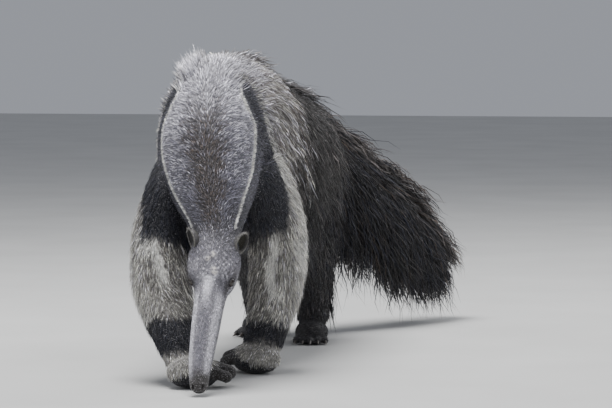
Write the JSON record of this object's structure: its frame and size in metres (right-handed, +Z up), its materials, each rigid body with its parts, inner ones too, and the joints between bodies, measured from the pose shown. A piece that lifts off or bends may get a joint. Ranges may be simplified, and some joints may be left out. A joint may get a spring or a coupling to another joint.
{
  "type": "giant anteater",
  "caption": "Giant anteater standing mid-stride with its long snout lowered to the floor, arched shoulders, shaggy coat and a long, drooping brush tail.",
  "frame": {"origin": "middle of the animal's floor plan, on the floor it stands on", "axes": "+Z up, -Y the way the animal faces, +X to its left"},
  "size_m": [0.4594, 1.6626, 0.6264],
  "materials": {
    "body_coat": "coarse grey-brown hair with pale tips",
    "face_coat": "short grey hair, near-black at the snout tip",
    "pale_coat": "pale shaggy hair with a black wrist band",
    "black_coat": "black hair",
    "tail_hair": "long black-brown hair",
    "claw_horn": "dull dark horn",
    "eye": "wet, near black"
  },
  "bodies": {
    "root": {"head": "face_coat", "ear_left": "face_coat", "ear_right": "face_coat", "eye_left": "eye", "eye_right": "eye", "neck": "body_coat", "torso": "body_coat", "tail": "tail_hair", "foreleg_left": "pale_coat", "foreleg_right": "pale_coat", "hindleg_left": "black_coat", "hindleg_right": "black_coat", "forepaw_left": "pale_coat", "forepaw_right": "pale_coat", "hindfoot_left": "black_coat", "hindfoot_right": "black_coat", "foreclaw_second_left": "claw_horn", "foreclaw_third_left": "claw_horn", "foreclaw_fourth_left": "claw_horn", "foreclaw_second_right": "claw_horn", "foreclaw_third_right": "claw_horn", "foreclaw_fourth_right": "claw_horn", "hindclaw_first_left": "claw_horn", "hindclaw_second_left": "claw_horn", "hindclaw_third_left": "claw_horn", "hindclaw_fourth_left": "claw_horn", "hindclaw_fifth_left": "claw_horn", "hindclaw_first_right": "claw_horn", "hindclaw_second_right": "claw_horn", "hindclaw_third_right": "claw_horn", "hindclaw_fourth_right": "claw_horn", "hindclaw_fifth_right": "claw_horn"}
  },
  "joints": []
}
